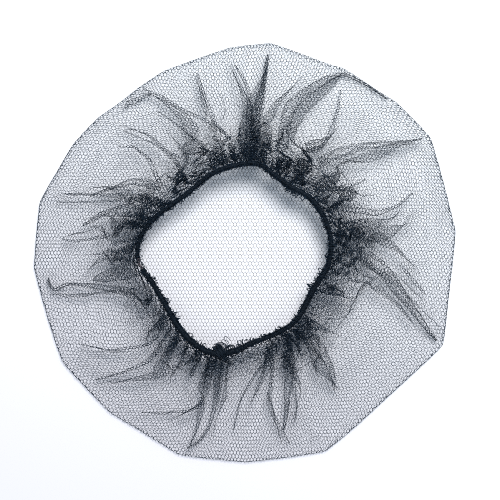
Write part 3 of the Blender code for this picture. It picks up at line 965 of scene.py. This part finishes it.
class Finish:
    """A material under construction, on a Principled shader."""

    def __init__(self, name, **plain):
        self.material = bpy.data.materials.new(name)
        self.material.use_nodes = True
        self.tree = self.material.node_tree
        self.shader = self.tree.nodes["Principled BSDF"]
        for socket, value in plain.items():
            self.shader.inputs[socket.replace("_", " ")].default_value = value

    def node(self, kind, settings, inputs, output=0):
        """Adds a node, sets its settings, then feeds its sockets with plain values or with links."""
        made = self.tree.nodes.new(kind)
        for setting, value in settings.items():
            setattr(made, setting, value)
        for socket, value in inputs.items():
            if isinstance(value, Value):
                self.tree.links.new(value.socket, made.inputs[socket])
            else:
                made.inputs[socket].default_value = value
        return Value(self, made.outputs[output])

    def feed(self, socket, value):
        self.tree.links.new(value.socket, self.shader.inputs[socket])

    def place(self, scale):
        """Position on the piece, in units of 1 / scale metres."""
        spot = self.node("ShaderNodeTexCoord", {}, {}, output=3)
        return self.node("ShaderNodeVectorMath", {"operation": "SCALE"}, {0: spot, 3: scale})

    def noise(self, scale, detail, roughness=0.5):
        inputs = {"Vector": self.place(scale), "Scale": 1.0, "Detail": detail, "Roughness": roughness}
        return self.node("ShaderNodeTexNoise", {}, inputs)

    def blend(self, factor, first, second):
        """A colour between two, by factor."""
        return self.node("ShaderNodeMix", {"data_type": "RGBA"}, {0: factor, 6: first, 7: second}, output=2)

    def bump(self, height, strength, distance):
        inputs = {"Height": height, "Strength": strength, "Distance": distance}
        self.feed("Normal", self.node("ShaderNodeBump", {}, inputs))


def colour(red, green, blue):
    return (red, green, blue, 1.0)


def yarn_finish(name, dark, light, filament, rough, sheen):
    """Dyed yarn: filaments twisted along it, uneven dye, and a little fluff that catches the light."""
    made = Finish(name, IOR=1.5, Specular_IOR_Level=0.35, Sheen_Weight=sheen, Sheen_Roughness=0.4,
                  Sheen_Tint=colour(0.6, 0.75, 0.95))
    dye = made.noise(90.0, 3.0)
    fibres = made.noise(filament, 2.0, 0.6)
    made.feed("Base Color", made.blend(dye * 0.55 + fibres * 0.75 - 0.15, dark, light))
    made.feed("Roughness", rough + 0.35 * fibres - 0.1 * dye)
    made.bump(fibres, 0.5, 0.00008)
    return made.material


def table_finish():
    """Pale smooth table with faint mottling, its colour painted lighter towards the window and darker away
    from it: painted light falloff.
    """
    made = Finish("pale_table", Roughness=0.6, Specular_IOR_Level=0.3)
    inputs = {0: made.place(1.0), 1: (0.4, 0.9, 0.0)}
    towards_window = made.node("ShaderNodeVectorMath", {"operation": "DOT_PRODUCT"}, inputs, output=1)
    # painted light: the colour ramps from a painted shaded end away from the window to a painted lit end
    # towards it; the noise adds real faint mottling
    painted_light_and_mottling = 0.45 + 3.2 * towards_window + 0.12 * made.noise(14.0, 3.0)
    made.feed("Base Color", made.blend(painted_light_and_mottling, colour(0.845, 0.818, 0.86), colour(0.925, 0.94, 0.965)))
    return made.material


# ---------------------------------------------------------------- making the net
def thread_widths(comb, grid):
    """Width of the yarn at each knot."""
    row = grid.row_of(comb.flat)
    width = THREAD + (TOP_THREAD - THREAD) * smooth_step((row - FLOOR_ROWS) / ROLL_ROWS)
    fluffed = smooth_step((turn_and_reach(comb.flat)[1] - FLUFF_FROM) / FLUFF_OVER)
    width += (GATHERED_THREAD - TOP_THREAD) * fluffed
    return np.where((row > FLOOR_ROWS - 0.2) & (row < TOP_START + 0.2), RIM_THREAD, width)


def net_parts(comb):
    """Names of the pieces of the net, with which strands each has."""
    middle = (comb.flat[comb.strands[:, 0]] + comb.flat[comb.strands[:, 1]]) / 2
    direction, radius = turn_and_reach(middle)
    crown = radius < CROWN
    parts = {"crown_net_west": crown & (middle[:, 0] < 0), "crown_net_east": crown & (middle[:, 0] >= 0)}
    sector = np.minimum(np.floor(direction / (360.0 / GATHERED_PIECES)), GATHERED_PIECES - 1)
    for number in range(GATHERED_PIECES):
        parts[f"gathered_net_{number + 1}"] = ~crown & (sector == number)
    return parts


def rolled_over_net(comb, grid, finish):
    """All the rolled-over folds in one piece."""
    spots, flats, strands, wide, count = [], [], [], [], 0
    for stops in ROLLED_OVER:
        placed, joins = rolled_over(comb, grid, stops)
        used, numbers = np.unique(joins[:, :2], return_inverse=True)
        narrow = max(stop[2] for stop in stops) < NARROW_FOLD
        spots.append(placed[used])
        flats.append(comb.flat[used])
        wide.append(np.full(len(used), EDGE_THREAD if narrow else ROLLED_THREAD))
        strands.append(np.column_stack([numbers.reshape(-1, 2) + count, joins[:, 2]]))
        count += len(used)
    piece = thread_mesh("net_rolled_over", *(np.concatenate(v) for v in (spots, flats, strands, wide)))
    return finished(piece, finish)


grid = Grid()
grid.settle(SETTLING_PASSES)
grid.add_frill()
comb = Honeycomb(grid)
placed = grid.place(comb.flat)
placed += crumple(comb.flat, placed)
width = thread_widths(comb, grid)
parts = net_parts(comb)

net_finish = yarn_finish(
    "blue_black_net", colour(0.006, 0.014, 0.026), colour(0.026, 0.052, 0.085), 5200.0, 0.38, 0.05)
hem_finish = yarn_finish(
    "blue_black_overlock", colour(0.004, 0.008, 0.014), colour(0.020, 0.035, 0.055), 3400.0, 0.5, 0.06)
rubber_finish = yarn_finish(
    "grey_elastic", colour(0.16, 0.13, 0.14), colour(0.42, 0.37, 0.38), 2600.0, 0.4, 0.0)

net = {}
for name, chosen in parts.items():
    piece = thread_mesh(name, placed, comb.flat, comb.strands[chosen], width)
    net[name] = finished(piece, net_finish)
rolled = rolled_over_net(comb, grid, net_finish)
core = hem_core(hem_finish)
wraps = hem_wraps(hem_finish)
loops = edge_loops(net_finish)
bare = bare_elastic(rubber_finish)
knot = join_knot(hem_finish)
for piece in (*net.values(), rolled, loops):
    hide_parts("net_bag")
for piece in (core, wraps, bare):
    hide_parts("elastic_band")
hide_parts("band_join")

# ---------------------------------------------------------------- table, light and camera
table_mesh = bpy.data.meshes.new("table_top")
table_mesh.from_pydata([(-3, -3, 0), (3, -3, 0), (3, 3, 0), (-3, 3, 0)], [], [(0, 1, 2, 3)])
table_top = placed_in_scene("table_top", table_mesh)
table_mesh.materials.append(table_finish())

# The depth of each piece of net and the length that gives its flat outline are worked out here, but not used
# further.
# Its area is the area that its threads cover, since it is open net.
for name, piece in net.items():
    strands = comb.strands[parts[name]]
    outline = RELAXED * len(np.unique(strands[:, :2])) / 2 * CELL_ACROSS * ROW_STEP
    crown = name.startswith("crown")
    depth = CROWN if crown else GATHERED_DEPTH
    goes_with = [rolled, loops] if name == "gathered_net_1" else []
    depth * MM
    outline / depth * MM

scene = bpy.context.scene
scene.world = bpy.data.worlds.new("soft_room")
scene.world.use_nodes = True
background = scene.world.node_tree.nodes["Background"].inputs
background["Color"].default_value = (0.80, 0.905, 1.0, 1.0)
background["Strength"].default_value = 0.62

window_light = bpy.data.lights.new("window", "AREA")
window_light.shape = "DISK"
window_light.size = 0.75
window_light.energy = 17.5
window_light.color = (1.0, 0.98, 0.95)
window = placed_in_scene("window", window_light)
window.location = (0.27, 0.72, 1.18)
window.rotation_euler = Vector(window.location).to_track_quat("Z", "Y").to_euler()

VIEW_ACROSS = 0.340  # width of the table that the camera takes in, in metres
camera_data = bpy.data.cameras.new("camera")
camera_data.lens = 100.0
camera_data.sensor_width = 36.0
camera = placed_in_scene("camera", camera_data)
camera.location = (3.4 * MM, 2.0 * MM, VIEW_ACROSS * camera_data.lens / camera_data.sensor_width)
scene.camera = camera
scene.view_settings.view_transform = "Standard"
scene.view_settings.look = "High Contrast"
scene.view_settings.exposure = -0.42
# The threads are finer than what denoising can tell from noise, so it would smear the net into a grey film.
scene.cycles.use_denoising = False
scene.cycles.filter_width = 0.98
